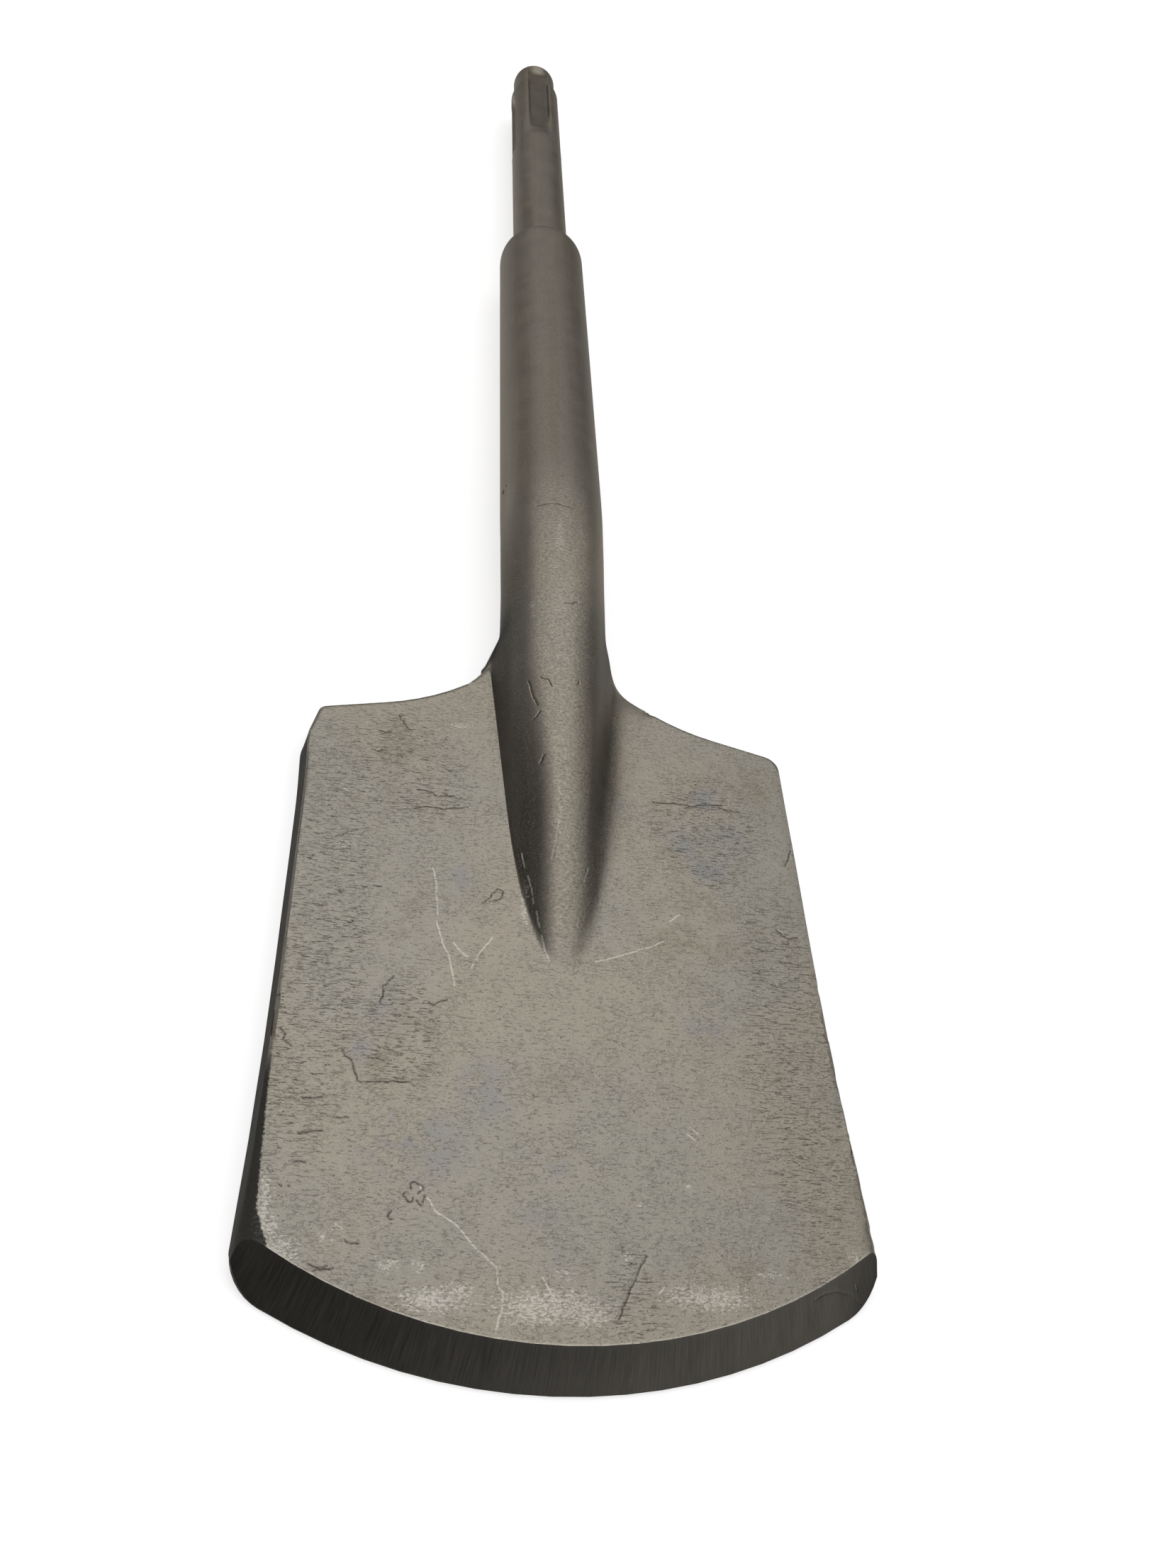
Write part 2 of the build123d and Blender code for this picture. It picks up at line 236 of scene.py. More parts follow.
def only(piece):
    """Select this piece alone and make it the active one."""
    bpy.ops.object.select_all(action="DESELECT")
    piece.select_set(True)
    bpy.context.view_layer.objects.active = piece


@contextlib.contextmanager
def editing(piece):
    """Work on this piece alone in edit mode."""
    only(piece)
    bpy.ops.object.mode_set(mode="EDIT")
    yield
    bpy.ops.object.mode_set(mode="OBJECT")


def pick_faces(piece, wanted):
    """Select the faces that are wanted, and no others."""
    with editing(piece):
        bpy.ops.mesh.select_mode(type="FACE")
        bpy.ops.mesh.select_all(action="DESELECT")
    for face in piece.data.polygons:
        face.select = wanted(face)


def fresh(add, **settings):
    """Run an operator that adds an object, with nothing else selected."""
    bpy.ops.object.select_all(action="DESELECT")
    add(**settings)
    return bpy.context.object


def finish_with(piece, kind, **settings):
    """Put a modifier on the piece, set it and apply it."""
    only(piece)
    modifier = piece.modifiers.new(kind.title(), kind)
    for name, value in settings.items():
        setattr(modifier, name, value)
    bpy.ops.object.modifier_apply(modifier=modifier.name)


def step(low, high, value):
    """0 at low, 1 at high and a smooth change between, whichever of the two is larger."""
    t = min(max((value - low) / (high - low), 0.0), 1.0)
    return t * t * (3.0 - 2.0 * t)


def spot(places, x, station):
    """How deep a point is in the nearest of some round spots, from 0 outside to 1 in the middle."""
    deepest = 0.0
    for middle, middle_station, across, along in places:
        away = ((x - middle) / across) ** 2 + ((station - middle_station) / along) ** 2
        if away < 1.0:
            deepest = max(deepest, 1.0 - away)
    return deepest


def jagged(lines, pitch, amount):
    """Break lines into short runs whose ends stray a little to either side, as a real mark's do."""
    draw = random.Random(11)
    broken = []
    for line in lines:
        runs = [line[0]]
        for (x1, s1), (x2, s2) in zip(line, line[1:]):
            count = max(1, round(math.hypot(x2 - x1, s2 - s1) / pitch))
            for i in range(1, count + 1):
                stray = amount if i < count else amount / 2
                x = x1 + (x2 - x1) * i / count + draw.uniform(-stray, stray)
                runs.append((x, s1 + (s2 - s1) * i / count + draw.uniform(-stray, stray)))
        broken.append(runs)
    return broken


def rim_lines():
    """The blisters' rims as lines."""
    lines = []
    for x, station, radius, start, end in RIMS:
        turns = [math.radians(start + (end - start) * i / 10) for i in range(11)]
        reach = [radius * (1.0 + 0.25 * math.cos(3 * turn + station)) for turn in turns]
        lines.append([(x + r * math.cos(t), station + r * math.sin(t)) for r, t in zip(reach, turns)])
    return tuple(lines)


def by_cell(lines, reach):
    """Sort the runs of lines into square cells, so that those near a place are quickly found."""
    cells = {}
    for line in lines:
        for (x1, s1), (x2, s2) in zip(line, line[1:]):
            for i in range(int((min(x1, x2) - reach) // CELL), int((max(x1, x2) + reach) // CELL) + 1):
                for j in range(int((min(s1, s2) - reach) // CELL), int((max(s1, s2) + reach) // CELL) + 1):
                    cells.setdefault((i, j), []).append((x1, s1, x2 - x1, s2 - s1))
    return cells


def nearness(cells, reach, x, station):
    """1 on one of the lines and 0 from a reach away, with a straight fall between."""
    nearest = reach
    for x1, s1, run, rise in cells.get((int(x // CELL), int(station // CELL)), ()):
        t = ((x - x1) * run + (station - s1) * rise) / (run * run + rise * rise)
        t = min(max(t, 0.0), 1.0)
        nearest = min(nearest, math.hypot(x - x1 - t * run, station - s1 - t * rise))
    return 1.0 - nearest / reach


def zone(piece, name, weight):
    """Mark a part of the piece by a function of x, station, z and the normal, as a mask and as a group."""
    # A mask and a group can't share a name
    group = piece.vertex_groups.new(name=name + " group")
    amounts = []
    for vertex in piece.data.vertices:
        x, y, z = vertex.co
        amounts.append(weight(x / MM, y / MM + EDGE_TO_MIDDLE, z / MM, vertex.normal))
        if amounts[-1] > 0.0:
            group.add([vertex.index], amounts[-1], "REPLACE")
    mask = piece.data.attributes.new(name, "FLOAT", "POINT")
    mask.data.foreach_set("value", amounts)
    return group.name


def at(x, station, z):
    """A place on the piece in Blender's metres."""
    return (x * MM, (station - EDGE_TO_MIDDLE) * MM, z * MM)


def join_or_cut(piece, operation, tool):
    """Weld a tool's shape to the piece, or cut it out of it, and take the tool away."""
    finish_with(piece, "BOOLEAN", operation=operation, solver="EXACT", object=tool)
    bpy.data.objects.remove(tool)


def trim(tool, place, outward):
    """Cut off what lies on the outward side of a plane through this place, and close the cut."""
    with editing(tool):
        bpy.ops.mesh.select_all(action="SELECT")
        bpy.ops.mesh.bisect(plane_co=place, plane_no=outward, use_fill=True, clear_outer=True)


def ridge_axis(station):
    """Height of the middle of the ridge's round crown."""
    return BLADE_TOP - RIDGE_RADIUS + RIDGE_SLOPE * (station - RIDGE_NOSE)


def ridge_foot(station):
    """How far from the middle the ridge's flank meets the top face."""
    drop = BLADE_TOP - ridge_axis(station)
    if drop > RIDGE_RADIUS * math.sin(FLANK_DRAFT):
        return math.sqrt(max(0.0, RIDGE_RADIUS**2 - drop**2))
    return RIDGE_RADIUS / math.cos(FLANK_DRAFT) - drop * math.tan(FLANK_DRAFT)


def take_skin(node):
    """Start the piece as a copy of the solid's skin with its loose triangles joined."""
    piece = bpy.data.objects.new("forging", node.data.copy())
    bpy.context.scene.collection.objects.link(piece)
    with editing(piece):
        bpy.ops.mesh.select_all(action="SELECT")
        bpy.ops.mesh.remove_doubles(threshold=1e-6)
    return piece


def level_off(piece, start, end):
    """Cut off all that stands above the top face between two stations."""
    waste = fresh(bpy.ops.mesh.primitive_cube_add, size=1.0)
    waste.scale = (50 * MM, (end - start) * MM, (ABOVE_ALL - BLADE_TOP) * MM)
    waste.location = at(0.0, (end + start) / 2, (ABOVE_ALL + BLADE_TOP) / 2)
    join_or_cut(piece, "DIFFERENCE", waste)


def drafted_bar(start, end):
    """A leaning round bar whose flanks are drafted, from one station to another."""
    middle = (end + start) / 2
    length = (end - start) * 1.2
    lean = (math.atan(RIDGE_SLOPE) - math.pi / 2, 0.0, 0.0)
    place = at(0.0, middle, ridge_axis(middle))
    settings = {"vertices": FACETS, "radius": RIDGE_RADIUS * MM, "depth": length * MM}
    bar = fresh(bpy.ops.mesh.primitive_cylinder_add, location=place, rotation=lean, **settings)
    bar.name = "ridge"
    # Two more bars, thin and low at the sides: the skin stretched over all three has drafted flanks
    depth = 14.0
    wide = (RIDGE_RADIUS + depth * math.sin(FLANK_DRAFT)) / math.cos(FLANK_DRAFT)
    settings = {"vertices": 8, "radius": 0.01 * MM, "depth": length * MM}
    with editing(bar):
        for side in (-wide, wide):
            low = at(side, middle, ridge_axis(middle) - depth)
            bpy.ops.mesh.primitive_cylinder_add(location=low, rotation=lean, **settings)
        bpy.ops.mesh.select_all(action="SELECT")
        bpy.ops.mesh.convex_hull()
    trim(bar, at(0.0, start, 0.0), (0.0, -1.0, 0.0))
    trim(bar, at(0.0, end + 1.0, 0.0), (0.0, 1.0, 0.0))
    trim(bar, at(0.0, middle, 2.0), (0.0, 0.0, -1.0))
    return bar


def true_ridge(piece):
    """Cut the ridge off and weld on one with a straight crest and flanks, narrowed by the neck's curves."""
    start = RIDGE_NOSE - 12.0
    level_off(piece, start, RIDGE_ROOT)
    ridge = drafted_bar(start, RIDGE_ROOT)
    widening = ABOVE_ALL * math.tan(SIDE_DRAFT)
    for side in (-1, 1):
        turn = fresh(
            bpy.ops.mesh.primitive_cone_add,
            vertices=FACETS,
            radius1=NECK_TURN_RADIUS * MM,
            radius2=(NECK_TURN_RADIUS + widening) * MM,
            depth=ABOVE_ALL * MM,
            location=at(side * NECK_TURN_MIDDLE, RIDGE_ROOT, ABOVE_ALL / 2),
        )
        join_or_cut(ridge, "DIFFERENCE", turn)
    join_or_cut(piece, "UNION", ridge)


def close_groove_end(piece):
    """Fill the end of the top groove with a plug that has the nose's round, chamfer and a sloping front."""
    end = 2 * EDGE_TO_MIDDLE
    length = 16.0
    half_width = 3.9
    bottom = BAR_RADIUS + 5.5
    play = 0.01
    settings = {"vertices": FACETS, "radius": (NOSE_RADIUS - play) * MM, "depth": length * MM}
    settings["location"] = at(0.0, end - play - length / 2, BAR_RADIUS)
    settings["rotation"] = (math.pi / 2, 0.0, 0.0)
    plug = fresh(bpy.ops.mesh.primitive_cylinder_add, **settings)
    bpy.ops.object.transform_apply(location=True, rotation=True)
    pick_faces(plug, lambda face: face.normal.y > 0.9)
    with editing(plug):
        bpy.ops.mesh.bevel(offset=NOSE_CHAMFER * MM, affect="EDGES")
    trim(plug, at(0.0, end, bottom), (0.0, 0.0, -1.0))
    trim(plug, at(half_width, end, BAR_RADIUS), (1.0, 0.0, 0.0))
    trim(plug, at(-half_width, end, BAR_RADIUS), (-1.0, 0.0, 0.0))
    trim(plug, at(0.0, end - 5.5, bottom + 1.1), (0.0, -0.75, 0.66))
    join_or_cut(piece, "UNION", plug)


def even_mesh(piece):
    """Lay an even net of small squares over the skin, sharp edges kept."""
    finish_with(piece, "REMESH", mode="SHARP", octree_depth=10, scale=0.9, sharpness=1.0)


def soften(piece):
    """Run shoulders and bar into each other, open the ridge's right hollow, and soften the top groove."""
    def neck(x, s, z, n):
        # On the left the ridge's flank runs out to the outline, so the blend starts further up
        start = 150.0 if x > 0.0 else 156.0
        along = step(start, start + 8.0, s) * step(194.0, 180.0, s)
        return along * step(6.0, 10.0, abs(x)) * step(0.5, 2.0, z)

    def hollow(x, s, z, n):
        if x < 0.0 or z < 7.5 or not RIDGE_NOSE < s < RIDGE_ROOT:
            return 0.0
        # The hollow narrows with the ridge
        foot = ridge_foot(s)
        reach = foot / 12.0
        across = step(-5.5 * reach, -2.5 * reach, x - foot) * step(9.0 * reach, 5.0 * reach, x - foot)
        along = 0.15 * step(RIDGE_NOSE, 84.0, s) + 0.85 * step(94.0, 122.0, s)
        return across * along * step(RIDGE_ROOT, 152.0, s)

    def groove_runout(x, s, z, n):
        return step(396.0, 406.0, s) * step(440.0, 426.0, s) * float(abs(x) < 6.0 and n.z > 0.5)

    def groove_sides(x, s, z, n):
        return float(406.0 < s < 474.0 and abs(x) < 5.6 and z > 18.0)

    for name, weight, rounds in (
        ("neck", neck, 150),
        ("hollow", hollow, 380),
        ("groove runout", groove_runout, 200),
        ("groove sides", groove_sides, 24),
    ):
        softened = zone(piece, name, weight)
        finish_with(piece, "SMOOTH", factor=0.5, iterations=rounds, vertex_group=softened)


def round_facets(piece):
    """Smooth all but the crisp edges, so that turned and forged curves lose the solid's facets."""
    piece.vertex_groups.new(name="curves")
    with editing(piece):
        bpy.ops.mesh.select_mode(type="EDGE")
        bpy.ops.mesh.select_all(action="DESELECT")
        bpy.ops.mesh.edges_select_sharp(sharpness=math.radians(19))
        bpy.ops.mesh.select_more()
        bpy.ops.mesh.select_all(action="INVERT")
        bpy.ops.object.vertex_group_assign()
    finish_with(piece, "SMOOTH", factor=0.5, iterations=30, vertex_group="curves")


def refine_marks(piece):
    """Divide the squares under the cracks, folds and scratches, so that the marks can be cut into them."""
    reach = 0.65
    marks = by_cell(CRACKS + FOLDS + SCRATCHES + rim_lines(), reach)

    def marked(face):
        x, y, z = face.center / MM
        return face.normal.z > 0.3 and nearness(marks, reach, x, y + EDGE_TO_MIDDLE) > 0.0

    pick_faces(piece, marked)
    with editing(piece):
        bpy.ops.mesh.subdivide(number_cuts=2)


def facing_up(normal):
    """1 where the skin looks up, 0 on the sides and below."""
    return step(0.4, 0.7, normal.z)


def forge_skin(piece):
    """Give the skin the hammer's unevenness, then its cracks, folds and scratches."""
    def struck(x, s, z, n):
        return 0.1 + 0.9 * step(2.0, 12.0, s) * step(150.0, 120.0, s)

    waves = bpy.data.textures.new("hammered", "CLOUDS")
    waves.noise_scale = 22 * MM
    waves.noise_depth = 3
    hammered = zone(piece, "hammered", struck)
    settings = {"texture": waves, "texture_coords": "LOCAL", "strength": 0.14 * MM, "mid_level": 1.0}
    finish_with(piece, "DISPLACE", vertex_group=hammered, **settings)
    for name, lines, reach, height in (
        ("crack", jagged(CRACKS + rim_lines(), 0.7, 0.18), 0.24, -0.11),
        ("fold", jagged(FOLDS, 1.2, 0.25), 0.5, 0.10),
        ("scratch", jagged(SCRATCHES, 1.1, 0.12), 0.26, -0.03),
    ):
        cells = by_cell(lines, reach)
        cut = zone(piece, name, lambda x, s, z, n: facing_up(n) * nearness(cells, reach, x, s))
        finish_with(piece, "DISPLACE", vertex_group=cut, strength=height * MM, mid_level=0.0)


def on_bevel(face):
    """True for a face that was ground with the bevel: it tips forward at the tip's end."""
    x, y, z = face.center / MM
    return y + EDGE_TO_MIDDLE < 26.0 and 0.45 < face.normal.z < 0.8 and face.normal.y < -0.5


def thin_out(piece):
    """Join small faces where the skin is plain, and keep those that carry the marks."""
    groups = [piece.vertex_groups[name + " group"].index for name in ("crack", "fold", "scratch")]
    keep = piece.vertex_groups.new(name="keep")
    kept = [v.index for v in piece.data.vertices if any(g.group in groups for g in v.groups)]
    keep.add(kept, 1.0, "REPLACE")
    settings = {"vertex_group": keep.name, "invert_vertex_group": True, "vertex_group_factor": 10.0}
    # Squares, so about twice as many triangles
    wanted = 88000
    finish_with(piece, "DECIMATE", ratio=wanted / len(piece.data.polygons), **settings)


class Socket:
    """An output socket. Sums written with it add Math nodes to its tree."""

    def __init__(self, tree, out=None):
        self.tree = tree
        self.out = out

    def node(self, kind, settings=(), sockets=(), take=0):
        """Add a node: its settings first, then the values or links of its sockets."""
        made = self.tree.nodes.new(kind)
        for name, value in dict(settings).items():
            setattr(made, name, value)
        for name, value in dict(sockets).items():
            if isinstance(value, Socket):
                self.tree.links.new(value.out, made.inputs[name])
            else:
                made.inputs[name].default_value = value
        return Socket(self.tree, made.outputs[take] if len(made.outputs) else None)

    def maths(self, operation, first, second=0.0):
        """A Math node on one or two numbers."""
        return self.node("ShaderNodeMath", {"operation": operation}, {0: first, 1: second})

    def vector(self, operation, first, second=(0.0, 0.0, 0.0), third=(0.0, 0.0, 0.0)):
        """A Vector Math node on up to three places."""
        return self.node("ShaderNodeVectorMath", {"operation": operation}, {0: first, 1: second, 2: third})

    def __add__(self, other):
        return self.maths("ADD", self, other)

    def __sub__(self, other):
        return self.maths("SUBTRACT", self, other)

    def __rsub__(self, other):
        return self.maths("SUBTRACT", other, self)

    def __mul__(self, other):
        return self.maths("MULTIPLY", self, other)

    __radd__, __rmul__ = __add__, __mul__

    def between(self, low, high):
        """0 at low, 1 at high and a smooth change between."""
        ends = {"Value": self, "From Min": low, "From Max": high}
        return self.node("ShaderNodeMapRange", {"interpolation_type": "SMOOTHSTEP"}, ends)

    def noise(self, per_mm, detail=2.0, roughness=0.5, stretch=(1.0, 1.0, 1.0)):
        """Noise on this place, with so many waves to a millimetre."""
        stretched = self.vector("MULTIPLY", self, stretch)
        sockets = {"Vector": stretched, "Scale": per_mm, "Detail": detail, "Roughness": roughness}
        return self.node("ShaderNodeTexNoise", {}, sockets)

    def colour(self, value):
        """A colour to start from."""
        made = self.node("ShaderNodeRGB")
        made.out.default_value = value
        return made

    def mix(self, colour, factor, blend="MIX"):
        """This colour, changed to another by a factor. The numbers are the Mix node's colour sockets."""
        sockets = {0: factor, 6: self, 7: colour}
        return self.node("ShaderNodeMix", {"data_type": "RGBA", "blend_type": blend}, sockets, take=2)

    def toned(self, factor):
        """This colour, lighter or darker by a factor."""
        grey = self.node("ShaderNodeCombineColor", {}, {0: factor, 1: factor, 2: factor})
        return self.mix(grey, 1.0, blend="MULTIPLY")

    def mask(self, name):
        """One of the zones marked on the piece."""
        return self.node("ShaderNodeAttribute", {"attribute_name": name}, take="Fac")

    def size(self):
        """This number without its sign."""
        return self.maths("ABSOLUTE", self)

    def most(self, other):
        """The larger of the two."""
        return self.maths("MAXIMUM", self, other)

    def parts(self):
        """The x, station and z of this place."""
        return [self.node("ShaderNodeSeparateXYZ", {}, {0: self}, take=axis) for axis in "XYZ"]


def new_material(name):
    """An empty material, its tree and the place of a point on the piece: x, station and z in millimetres."""
    material = bpy.data.materials.new(name)
    material.use_nodes = True
    material.node_tree.nodes.clear()
    tree = Socket(material.node_tree)
    coordinates = tree.node("ShaderNodeTexCoord", take="Object")
    place = tree.vector("MULTIPLY_ADD", coordinates, (1 / MM, 1 / MM, 1 / MM), (0.0, EDGE_TO_MIDDLE, 0.0))
    return material, tree, place


def finish_metal(tree, colour, roughness, height, metal=1.0):
    """A metal of this colour and roughness. The height of its skin is in millimetres."""
    bump = tree.node("ShaderNodeBump", {}, {"Height": height, "Distance": MM, "Strength": 1.0})
    sockets = {"Base Color": colour, "Metallic": metal, "Roughness": roughness, "Normal": bump}
    sockets["Specular Tint"] = EDGE_GLOSS
    shader = tree.node("ShaderNodeBsdfPrincipled", {}, sockets)
    tree.node("ShaderNodeOutputMaterial", {}, {"Surface": shader})


def bevel_line(tree, place):
    """How far a point lies outside the arc where the bevel meets the top face."""
    from_centre = tree.vector("SUBTRACT", place, (0.0, BEVEL_TOP_STATION + BEVEL_TOP_RADIUS, 0.0))
    flat = tree.vector("MULTIPLY", from_centre, (1.0, 1.0, 0.0))
    distance = tree.node("ShaderNodeVectorMath", {"operation": "LENGTH"}, {0: flat}, take="Value")
    return distance - BEVEL_TOP_RADIUS


def forged_steel():
    """Warm grey forged steel: patchy, scaly, scratched and rubbed bright in places."""
    material, tree, place = new_material("forged steel")
    x, station, z = place.parts()
    facing = tree.node("ShaderNodeTexCoord", take="Normal").parts()
    patches = place.noise(0.03, 2.0)
    clouds = place.noise(0.16, 4.0, 0.6)
    grain = place.noise(2.8, 3.0, 0.6, stretch=(0.8, 1.2, 1.0))
    specks = place.noise(1.5, 3.0, 0.65)
    flecks = place.noise(1.9, 4.0, 0.72, stretch=(0.7, 1.2, 1.0))
    wrinkles = place.noise(1.6, 3.0, 0.62, stretch=(0.26, 2.0, 1.0))
    dashes = place.noise(1.5, 3.0, 0.6, stretch=(0.5, 1.5, 1.0))
    crackle = (place.noise(0.8, 3.0, 0.55, stretch=(0.7, 1.4, 1.0)) - 0.5).size()
    streaks = place.noise(0.22, 3.0, 0.6, stretch=(1.0, 0.03, 0.5))

    # Parts of the piece: the round bar, the ridge's rubbed crest, and its right foot and left flank, which
    # are painted darker as shade
    bar = station.between(172.0, 226.0) * z.between(8.0, 11.0)
    crest = z.between(8.1, 9.2) * facing[2].between(0.72, 0.93) * station.between(64.0, 92.0)
    crest = crest * station.between(228.0, 190.0)
    foot = facing[0].between(0.10, 0.52) * z.between(8.1, 9.0) * station.between(190.0, 150.0)
    steep = facing[0] * -1.0 - station.between(110.0, 176.0) * 0.42
    flank = steep.between(0.05, 0.42) * steep.between(0.95, 0.55)
    flank = flank * z.between(8.05, 8.5) * station.between(216.0, 176.0) * station.between(70.0, 79.0)

    # Painted shade together with dark, dull scale that nothing rubs: the drafted sides, and the rolled edge
    # of the left tip corner
    sides = facing[2].size().between(0.62, 0.30) * station.between(178.0, 160.0)
    roll_line = (52.0 - station) * 0.0245 + (27.0 - station).most(0.0) * 0.34 - 54.2
    rolled_scale_and_shade = (roll_line - x + (specks - 0.5) * 1.2).between(-0.15, 0.25) * station.between(58.0, 50.0)
    sides = sides.most(rolled_scale_and_shade)

    # Painted shade in the top groove, and a painted highlight on the sloping wall at its end
    groove = x.size().between(4.1, 3.5) * z.between(20.9, 20.4) * station.between(412.0, 424.0)
    groove_end_highlight = x.size().between(3.2, 0.8) * z.between(18.0, 19.0) * station.between(473.5, 475.5)
    groove_end_highlight = groove_end_highlight * station.between(479.6, 478.4)

    # Wrinkles, with painted shade in their bottoms and painted light on their brows, short ticks, crackle and
    # deep cracks
    scaly = tree.mask("scaly").between(0.0, 0.7) * 0.8 + 0.15
    shaded_wrinkle_bottoms = wrinkles.between(0.42, 0.35) * scaly
    lit = wrinkles.between(0.60, 0.68) * scaly
    ticks = dashes.between(0.40, 0.33)
    cracked = crackle.between(0.020, 0.005) * clouds.between(0.40, 0.58)
    dark = tree.mask("crack").between(0.15, 0.75) * specks.between(0.30, 0.50)

    # Bare metal: rubbed spots, scratches, the rim above the bevel, and flecks on the ridge and all over
    worn = tree.mask("rubbed")
    rubbed = (worn * 0.19 + flecks).between(0.62, 0.70) * worn.between(0.0, 0.3)
    scratched = tree.mask("scratch").between(0.12, 0.6) * specks.between(0.34, 0.46)
    rim = bevel_line(tree, place).between(-0.42, -0.1) * station.between(30.0, 20.0) * z.between(7.6, 7.9)
    bright = rubbed.most(scratched).most(rim * 0.7).most(flecks.between(0.56, 0.66) * flank * 0.55)
    bright = bright.most(flecks.between(0.60, 0.68) * (crest * 0.45 + 0.3) * (1.0 - bar))
    bright = bright * (1.0 - sides * 0.8)

    # Colour: stains and scale first, then lighter or darker by part and mark, including painted light and
    # shade, then bare metal and dirt
    colour = tree.colour(PLAIN_SKIN).mix(PALER_SKIN, patches.between(0.42, 0.58))
    colour = colour.mix(BROWN_STAIN, tree.mask("warm") * clouds.between(0.35, 0.65) * 0.7)
    colour = colour.mix(BLUE_SCALE, tree.mask("cool") * clouds.between(0.60, 0.40) * 0.8)
    colour = colour.mix(RUBBED_CREST, crest * 0.6)
    colour = colour.mix(BAR_SKIN, bar * 0.85)
    colour = colour.mix(BAR_STREAK, bar * streaks.between(0.50, 0.62) * 0.35)
    tone = 1.02 + (clouds - 0.5) * 0.35 + (grain - 0.5) * 0.8
    tone = tone - shaded_wrinkle_bottoms * 0.15 + lit * 0.13 - cracked * 0.14 - ticks * 0.07
    tone = tone + crest * ((flecks - 0.5) * 2.2 + 0.24) - groove * 0.3 + groove_end_highlight * 0.9
    # Painted light on the bar: lighter where it turns to the left and more where it turns to the right
    turned = (facing[0] * -1.0).between(0.05, 0.45) * 0.20 + facing[0].between(0.55, 0.95) * 0.3
    tone = tone + bar * (turned + (streaks - 0.5) * 0.3)
    # Painted shade: the sides, the ridge's right foot and its left flank are darkened by how they face
    shaded = 0.72 - station.between(110.0, 150.0) * 0.20 + (flecks - 0.5) * 1.2
    tone = tone * (1.0 - sides * 0.82) * (1.0 - foot * 0.42) * (1.0 - flank * shaded)
    colour = colour.toned(tone).mix(BARE_STEEL, bright * 0.5).mix(CRACK_DIRT, dark * 0.7)

    # How dull the skin is, and its height in millimetres
    roughness = 0.43 + (clouds - 0.5) * 0.2 + (grain - 0.5) * 0.15 - bright * 0.08 + bar * 0.12 + sides * 0.35
    height = grain * 0.05 + clouds * 0.10 - shaded_wrinkle_bottoms * 0.05 + lit * 0.02 - cracked * 0.014 - ticks * 0.03
    height = height + flecks * (crest * 0.20 + flank * 0.24 + 0.03)
    finish_metal(tree, colour, roughness, height, metal=1.0 - sides * 0.5)
    return material


def ground_steel():
    """The bevel: steel painted dark as shade, darkest on the left, with fine grinding lines across it."""
    material, tree, place = new_material("ground bevel")
    x, station, z = place.parts()
    around = tree.maths("ARCTAN2", x, BEVEL_TOP_STATION + BEVEL_TOP_RADIUS - station) * BEVEL_TOP_RADIUS
    along = tree.node("ShaderNodeCombineXYZ", {}, {0: around, 1: bevel_line(tree, place) * 0.06, 2: 0.0})
    lines = along.noise(3.2, 2.0, 0.6)
    bands = along.noise(0.12, 2.0)
    # Painted shade across the bevel: darker on the left, lighter towards the right
    colour = tree.colour(SHADED_BEVEL).mix(LESS_SHADED_BEVEL, x.between(-50.0, 40.0) * x.between(62.0, 47.0))
    colour = colour.toned(1.0 + (lines - 0.5) * 0.9 + (bands - 0.5) * 0.3)
    finish_metal(tree, colour, 0.36 + (lines - 0.5) * 0.2, lines * 0.02)
    return material


def shown_to(tree, *kinds):
    """1 for rays of these kinds and 0 for all others."""
    rays = tree.node("ShaderNodeLightPath", take=f"Is {kinds[0]} Ray")
    for kind in kinds[1:]:
        rays = rays + tree.node("ShaderNodeLightPath", take=f"Is {kind} Ray")
    return tree.maths("MINIMUM", rays, 1.0)


def white_table():
    """A plain pale floor that shows white and keeps the piece's shadow."""
    table = fresh(bpy.ops.mesh.primitive_plane_add, size=8.0, location=at(0.0, EDGE_TO_MIDDLE, -0.2))
    table.name = "table"
    material, tree, _ = new_material("white table")
    shown = shown_to(tree, "Camera", "Glossy", "Transmission")
    cloth = tree.node("ShaderNodeBsdfDiffuse", {}, {"Color": (0.8, 0.8, 0.8, 1.0)})
    glow = tree.node("ShaderNodeEmission", {}, {"Color": WHITE, "Strength": shown * 0.56})
    both = tree.node("ShaderNodeAddShader", {}, {0: cloth, 1: glow})
    tree.node("ShaderNodeOutputMaterial", {}, {"Surface": both})
    table.data.materials.append(material)


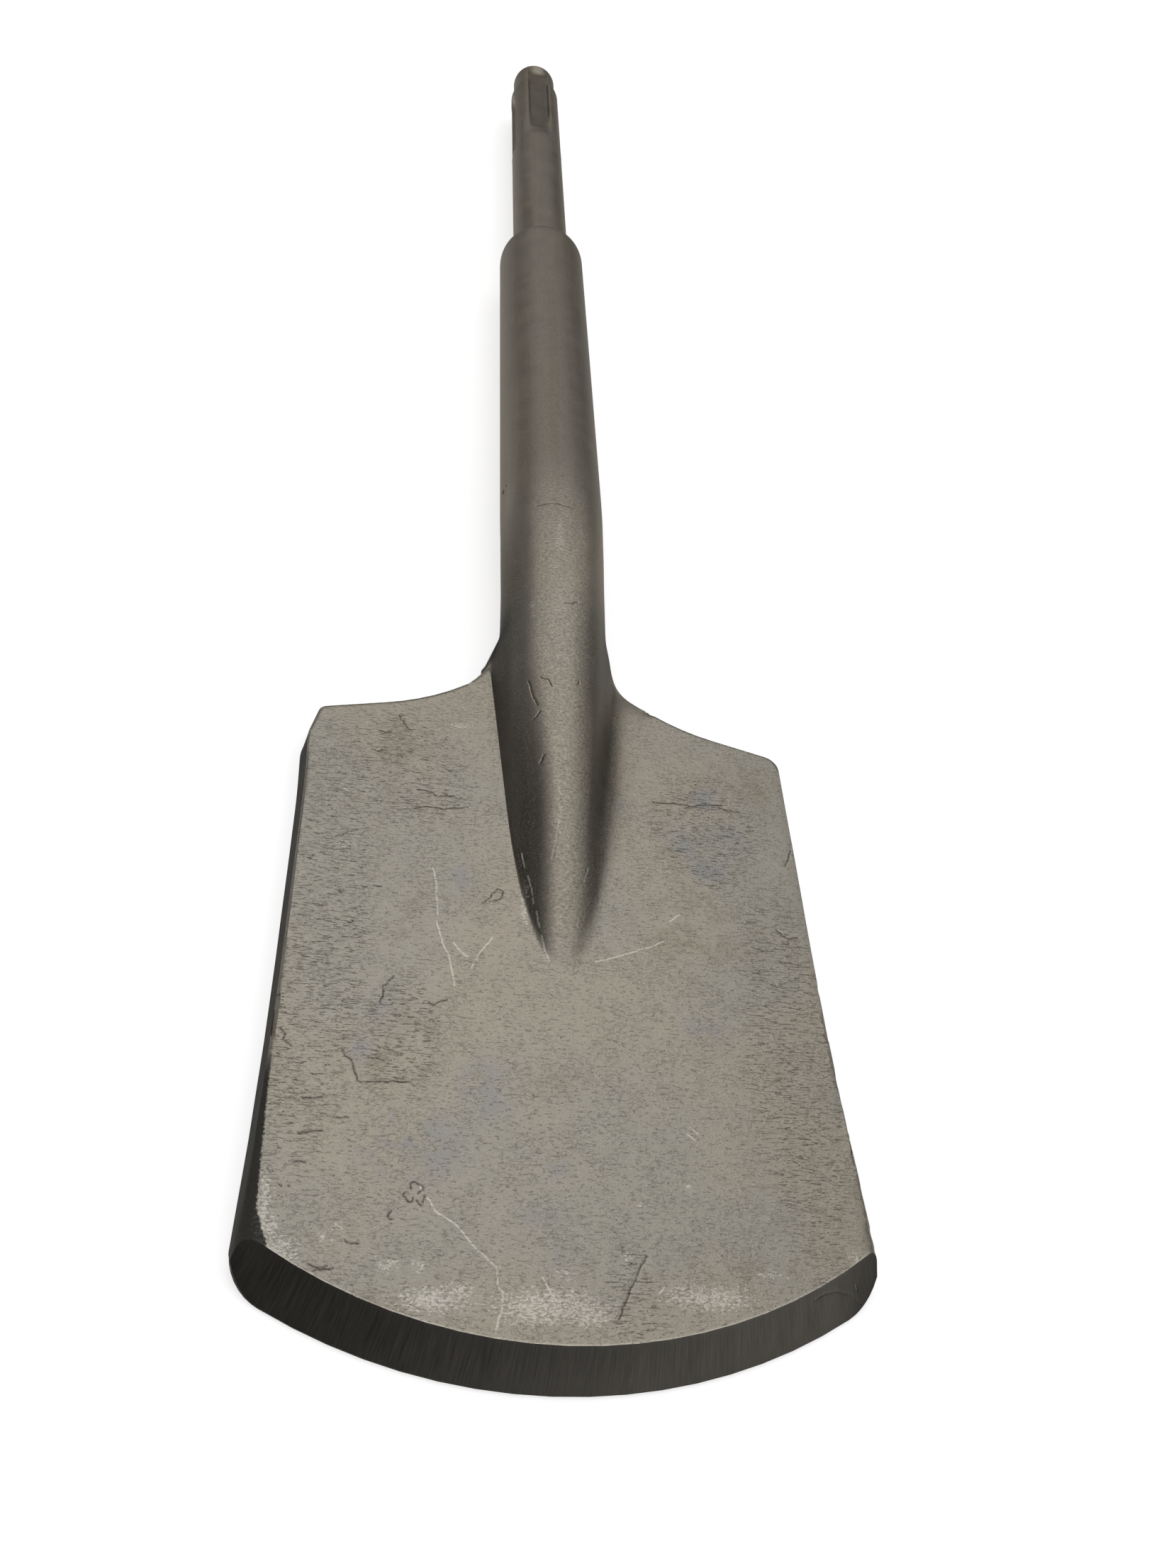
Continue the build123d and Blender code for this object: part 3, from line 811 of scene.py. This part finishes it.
def studio():
    """A dim room that is darkest at the horizon, and one large soft lamp above and behind."""
    world = bpy.data.worlds.new("studio")
    bpy.context.scene.world = world
    world.use_nodes = True
    world.node_tree.nodes.clear()
    tree = Socket(world.node_tree)
    shown = shown_to(tree, "Camera", "Transmission")
    direction = tree.node("ShaderNodeTexCoord", take="Generated")
    up = tree.node("ShaderNodeSeparateXYZ", {}, {0: direction}, take="Z")
    room = up.between(0.05, 0.85) * 0.60 + 0.016
    sockets = {"Color": WHITE, "Strength": room * (1.0 - shown) + shown}
    glow = tree.node("ShaderNodeBackground", {}, sockets)
    tree.node("ShaderNodeOutputWorld", {}, {"Surface": glow})
    box = fresh(bpy.ops.object.light_add, type="AREA", location=(0.1, 0.6, 1.35))
    box.name = "softbox"
    box.data.shape = "RECTANGLE"
    box.data.size = 1.4
    box.data.size_y = 1.6
    box.data.energy = 6.0
    box.rotation_euler = (math.radians(-24), 0.0, 0.0)


def set_camera():
    """The photograph's viewpoint, as solved from the outline and the shank's 18 mm."""
    turns = [math.radians(turn) for turn in (39.841, -12.832, -2.609)]
    camera = fresh(bpy.ops.object.camera_add, location=(-0.04916, -0.29327, 0.22001), rotation=turns)
    camera.data.lens = 28.88
    camera.data.sensor_width = 36.0
    camera.data.clip_start = 0.01
    bpy.context.scene.camera = camera


def forge(node):
    """The whole piece, from the solid's skin to its last scratch."""
    piece = take_skin(node)
    true_ridge(piece)
    close_groove_end(piece)
    even_mesh(piece)
    round_facets(piece)
    soften(piece)
    refine_marks(piece)
    forge_skin(piece)
    thin_out(piece)
    zone(piece, "rubbed", lambda x, s, z, n: facing_up(n) * spot(RUBBED, x, s))
    zone(piece, "warm", lambda x, s, z, n: spot(WARM, x, s))
    zone(piece, "cool", lambda x, s, z, n: spot(COOL, x, s))
    zone(piece, "scaly", lambda x, s, z, n: spot(SCALY, x, s) * step(9.0, BLADE_TOP + 0.2, z))
    only(piece)
    bpy.ops.object.shade_smooth_by_angle(angle=math.radians(35))
    piece.data.materials.clear()
    piece.data.materials.append(forged_steel())
    piece.data.materials.append(ground_steel())
    for face in piece.data.polygons:
        face.material_index = int(on_bevel(face))
    return piece


forging = forge(frame["nodes"]["forged_chisel"])
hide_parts("forged_chisel")
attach(forging, "root")
white_table()
studio()
set_camera()
bpy.context.scene.view_settings.view_transform = "Standard"
